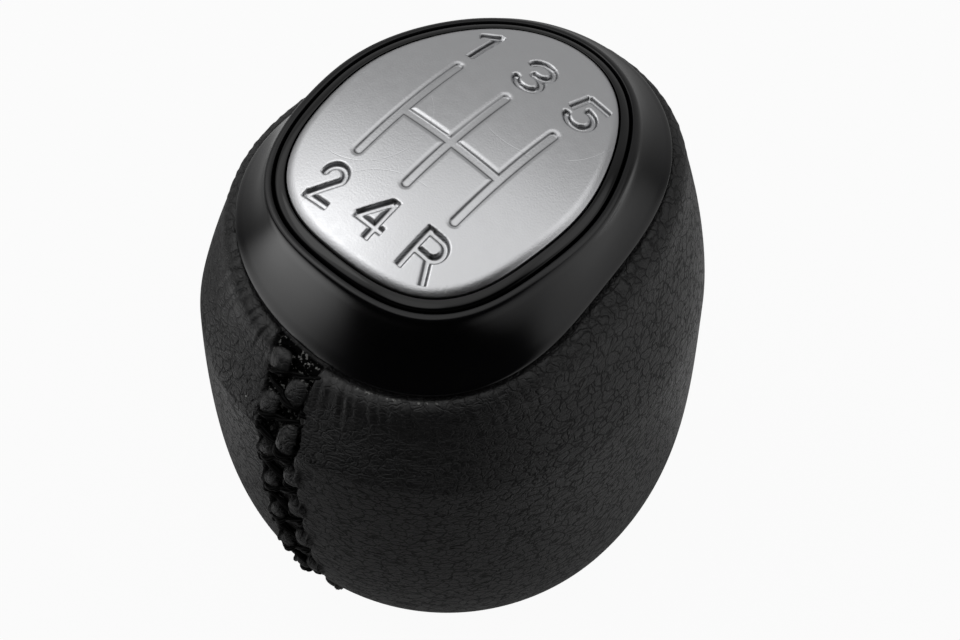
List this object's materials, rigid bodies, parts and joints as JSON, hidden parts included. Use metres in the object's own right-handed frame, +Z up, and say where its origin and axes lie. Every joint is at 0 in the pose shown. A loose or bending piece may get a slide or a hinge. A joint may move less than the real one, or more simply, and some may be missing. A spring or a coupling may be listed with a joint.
{
  "type": "gear shift knob",
  "caption": "Rounded leather gear shift knob with a flared black bezel, a domed metal shift plate and a blind lever bore in its base.",
  "frame": {"origin": "centre of the lever bore's mouth, on the face that the knob stands on", "axes": "+Z up along the lever, +Y forward towards gears 1, 3 and 5, +X to the right towards gear 5"},
  "size_m": [0.0538, 0.0621, 0.068],
  "materials": {
    "core_plastic": "moulded, matte",
    "socket_plastic": "moulded, matte",
    "spring_steel": "plain spring steel",
    "collar_plastic": "moulded, fine grain",
    "black_leather": "grained, semi-matte",
    "black_thread": "waxed, glossy",
    "satin_black": "satin",
    "gloss_black": "gloss",
    "foam_tape": "foam",
    "satin_aluminium": "satin, pressed"
  },
  "bodies": {
    "root": {"core": "core_plastic", "lever_socket": "socket_plastic", "retaining_ring": "spring_steel", "bottom_collar": "collar_plastic", "leather_cover": "black_leather", "seam_thread": "black_thread", "bezel": "satin_black", "plate_carrier": "gloss_black", "adhesive_pad": "foam_tape", "shift_plate": "satin_aluminium"}
  },
  "joints": []
}
